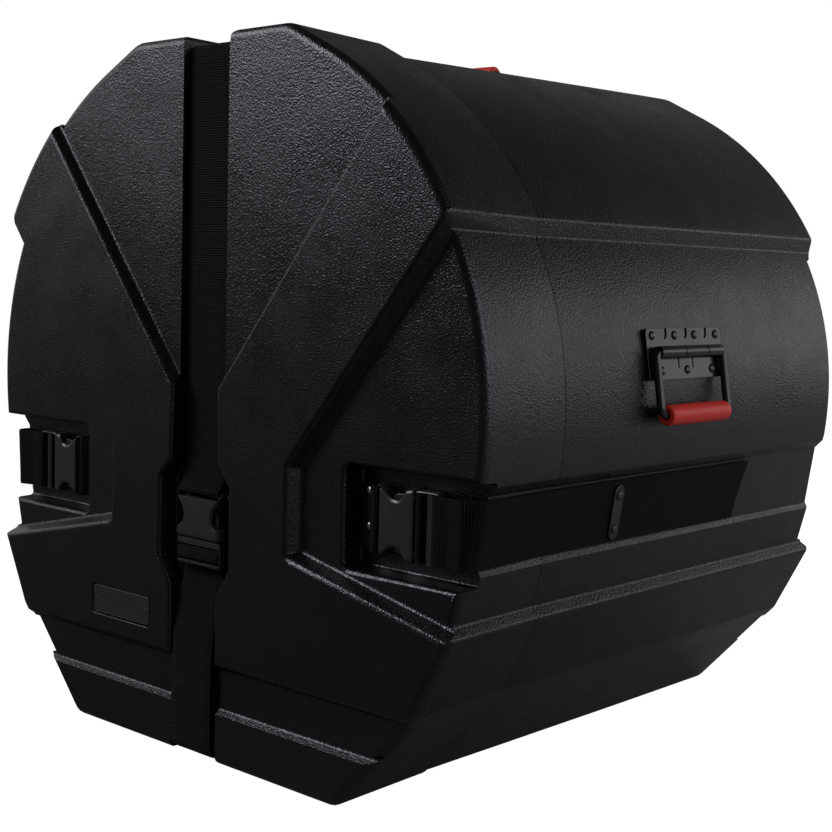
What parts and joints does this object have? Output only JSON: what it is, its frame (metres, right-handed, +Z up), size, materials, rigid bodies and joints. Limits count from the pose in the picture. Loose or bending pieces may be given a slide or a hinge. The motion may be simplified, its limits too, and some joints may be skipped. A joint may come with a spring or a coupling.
{
  "type": "bass drum case",
  "caption": "Moulded black bass drum case: tub and lift-off lid held by webbing straps with side release buckles, with sprung carrying handles on both sides and the top.",
  "frame": {"origin": "on the floor under the middle of the case", "axes": "+Z up, -Y towards the lid, +X to the right as seen from the front of the lid; the drum's axis lies along Y"},
  "size_m": [0.6154, 0.54, 0.5944],
  "materials": {
    "shell": "pebbled satin moulding",
    "foam": "closed cell foam",
    "webbing": "ribbed nylon webbing",
    "acetal": "moulded satin gloss",
    "black_steel": "black powder coat",
    "zinc": "zinc plated",
    "grip": "moulded red rubber"
  },
  "bodies": {
    "tub": {"body_shell": "shell", "foam_sleeve": "foam", "foam_back_pad": "foam", "strap_right_side": "webbing", "strap_left_side": "webbing", "strap_centre_bottom": "webbing", "strap_plate_right": "zinc", "strap_plate_left": "zinc", "strap_plate_top": "zinc", "strap_plate_bottom": "zinc", "strap_rivet_right_a": "zinc", "strap_rivet_right_b": "zinc", "strap_rivet_left_a": "zinc", "strap_rivet_left_b": "zinc", "strap_rivet_top_a": "zinc", "strap_rivet_top_b": "zinc", "strap_rivet_bottom_a": "zinc", "strap_rivet_bottom_b": "zinc", "handle_right_plate": "black_steel", "handle_right_spring": "zinc", "handle_left_plate": "black_steel", "handle_left_spring": "zinc", "handle_top_plate": "black_steel", "handle_top_spring": "zinc"},
    "lid": {"lid_shell": "shell", "foam_lid_pad": "foam", "badge_plate": "acetal", "strap_centre_upper": "webbing", "strap_centre_lower": "webbing", "strap_right_front": "webbing", "strap_left_front": "webbing", "buckle_right_tab": "webbing", "buckle_left_tab": "webbing", "buckle_right_socket": "acetal", "buckle_left_socket": "acetal", "buckle_centre_socket": "acetal", "tab_rivet_right_a": "zinc", "tab_rivet_right_b": "zinc", "tab_rivet_left_a": "zinc", "tab_rivet_left_b": "zinc"},
    "right_plug": {"buckle_right_plug": "acetal"},
    "left_plug": {"buckle_left_plug": "acetal"},
    "centre_plug": {"buckle_centre_plug": "acetal"},
    "right_bail": {"handle_right_bail": "black_steel", "handle_right_grip": "grip"},
    "left_bail": {"handle_left_bail": "black_steel", "handle_left_grip": "grip"},
    "top_bail": {"handle_top_bail": "black_steel", "handle_top_grip": "grip"}
  },
  "joints": [
    {"name": "lid_lift_off", "type": "slide", "parent": "tub", "child": "lid", "axis": [0, -1, 0], "range_m": [0, 0.12], "deforming": ["strap_right_side", "strap_left_side", "strap_centre_upper", "strap_centre_bottom"]},
    {"name": "right_buckle_release", "type": "slide", "parent": "lid", "child": "right_plug", "axis": [1, 0, 0], "range_m": [0, 0.028], "deforming": ["strap_right_front"]},
    {"name": "left_buckle_release", "type": "slide", "parent": "lid", "child": "left_plug", "axis": [-1, 0, 0], "range_m": [0, 0.028], "deforming": ["strap_left_front"]},
    {"name": "centre_buckle_release", "type": "slide", "parent": "lid", "child": "centre_plug", "axis": [0, 0, -1], "range_m": [0, 0.028], "deforming": ["strap_centre_lower"]},
    {"name": "right_handle_swing", "type": "hinge", "parent": "tub", "child": "right_bail", "pos_m": [0.2916, 0.0015, 0.34525], "axis": [0, -1, 0], "range_deg": [0, 90], "stiffness_Nm_per_rad": 0.2, "springref_deg": -20.05},
    {"name": "left_handle_swing", "type": "hinge", "parent": "tub", "child": "left_bail", "pos_m": [-0.2916, 0.0015, 0.34525], "axis": [0, 1, 0], "range_deg": [0, 90], "stiffness_Nm_per_rad": 0.2, "springref_deg": -20.05},
    {"name": "top_handle_swing", "type": "hinge", "parent": "tub", "child": "top_bail", "pos_m": [0, -0.00218, 0.58124], "axis": [1, 0, 0], "range_deg": [0, 90], "stiffness_Nm_per_rad": 0.2, "springref_deg": -20.05}
  ]
}
